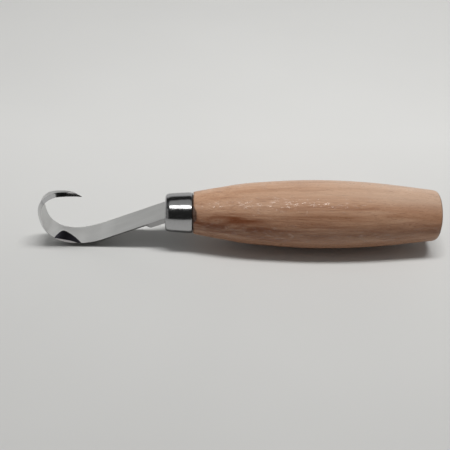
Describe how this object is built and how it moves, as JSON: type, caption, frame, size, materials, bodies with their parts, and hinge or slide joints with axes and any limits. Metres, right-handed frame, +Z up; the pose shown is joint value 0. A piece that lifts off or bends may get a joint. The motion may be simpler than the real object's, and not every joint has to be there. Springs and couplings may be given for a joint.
{
  "type": "hook knife",
  "caption": "Hook knife with a bent single-bevel blade, a polished ferrule and a turned wooden handle, for hollowing spoons and bowls.",
  "frame": {"origin": "middle of the footprint, on the flat surface that the knife lies on", "axes": "+X along the handle towards the butt, +Z up as the knife lies on the handle's belly and the bottom of the hook, cutting edge towards -Y"},
  "size_m": [0.1864, 0.0322, 0.0322],
  "materials": {
    "blade_steel": "satin-ground faces with fine lengthwise grind lines and a polished outer bevel",
    "ferrule_plate": "bright polished, with faint handling marks",
    "handle_wood": "turned beech, oiled and nearly matt, grain along the handle",
    "epoxy": "cured amber glue"
  },
  "bodies": {
    "root": {"blade": "blade_steel", "ferrule": "ferrule_plate", "handle": "handle_wood", "tang_adhesive": "epoxy"}
  },
  "joints": []
}
